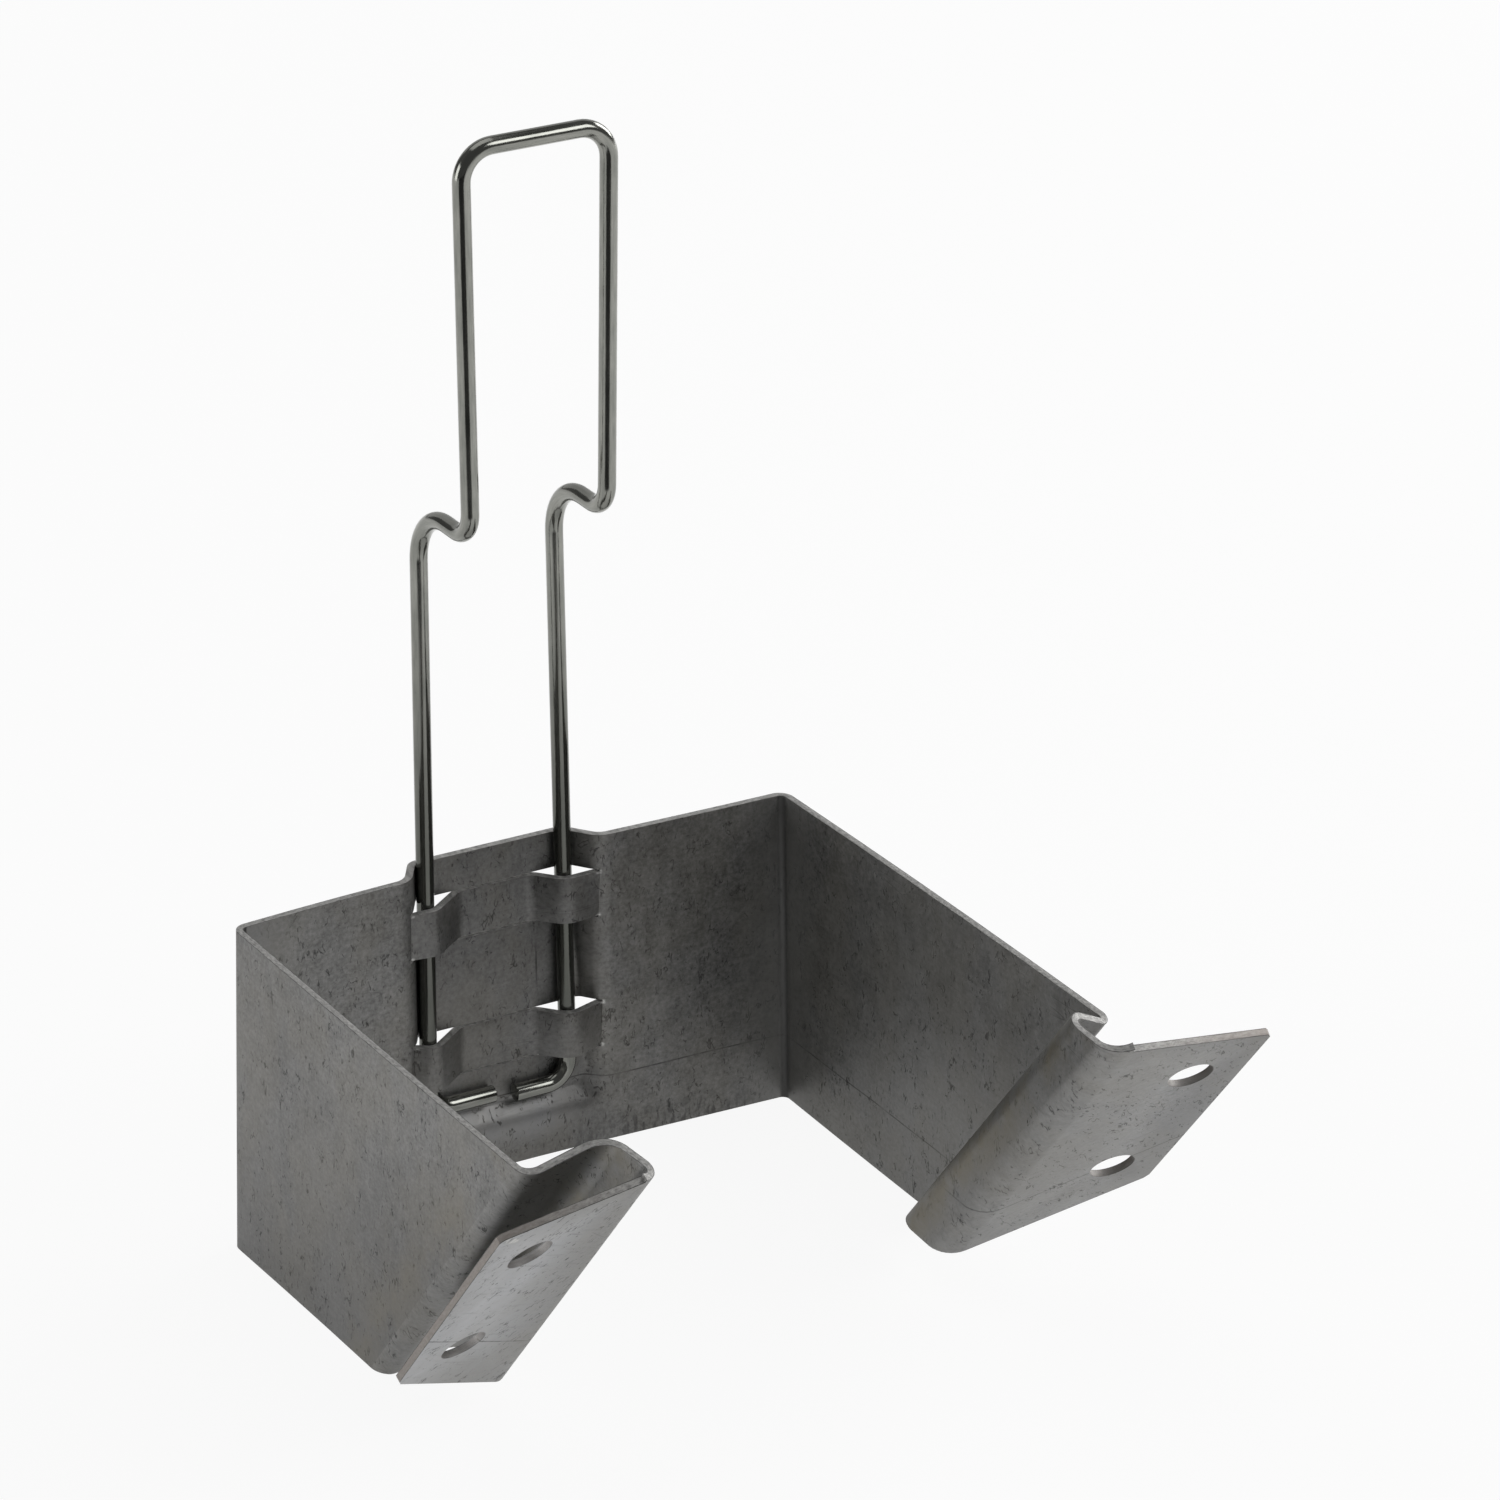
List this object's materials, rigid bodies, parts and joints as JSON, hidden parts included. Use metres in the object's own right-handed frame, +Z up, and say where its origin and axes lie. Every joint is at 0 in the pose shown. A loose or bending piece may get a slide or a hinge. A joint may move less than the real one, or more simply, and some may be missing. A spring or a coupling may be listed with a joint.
{
  "type": "wheel chock holder",
  "caption": "Folded sheet-steel pocket holder for a wheel chock, with raked mounting flanges and a spring wire bail clamped behind two lanced straps.",
  "frame": {"origin": "middle of the back plate's bottom edge, at half the sheet's thickness", "axes": "+Z up along the bail, -Y toward the open raked front of the pocket, +X to the right seen from the front"},
  "size_m": [0.163, 0.1477, 0.2205],
  "materials": {
    "galvanised_sheet": "galvanised mill sheet, scuffed and streaked, bright cut edges",
    "zinc_wire": "bright zinc-plated spring wire"
  },
  "bodies": {
    "root": {"bracket": "galvanised_sheet", "wire_bail": "zinc_wire"}
  },
  "joints": []
}
